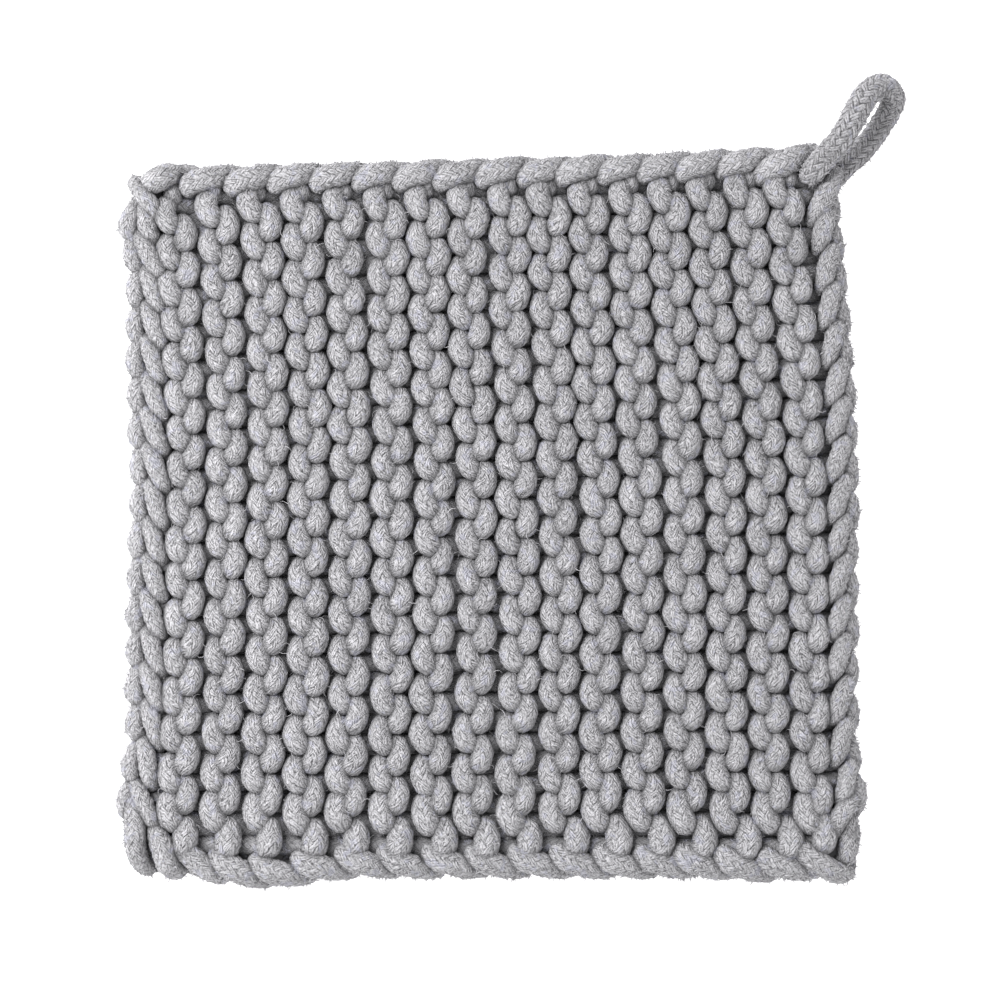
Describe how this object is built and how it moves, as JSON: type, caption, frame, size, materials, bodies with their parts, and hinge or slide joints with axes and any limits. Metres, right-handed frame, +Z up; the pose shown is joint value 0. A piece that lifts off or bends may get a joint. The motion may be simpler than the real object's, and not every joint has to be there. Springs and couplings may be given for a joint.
{
  "type": "knitted coaster",
  "caption": "Flat square coaster knitted in garter stitch from thick grey braided cotton cord, with chain edges and a hanging loop of the same cord at one corner.",
  "frame": {"origin": "middle of the square's underside, on the surface that it rests on", "axes": "+Z up, through the thickness; +Y along the ridges, towards the edge that ends at the loop's corner; +X across the ridges, towards the loop's corner"},
  "size_m": [0.2127, 0.2201, 0.0185],
  "materials": {
    "knit": "matt",
    "loop_cord": "matt"
  },
  "bodies": {
    "root": {"knitted_square": "knit", "hanging_loop": "loop_cord"}
  },
  "joints": []
}
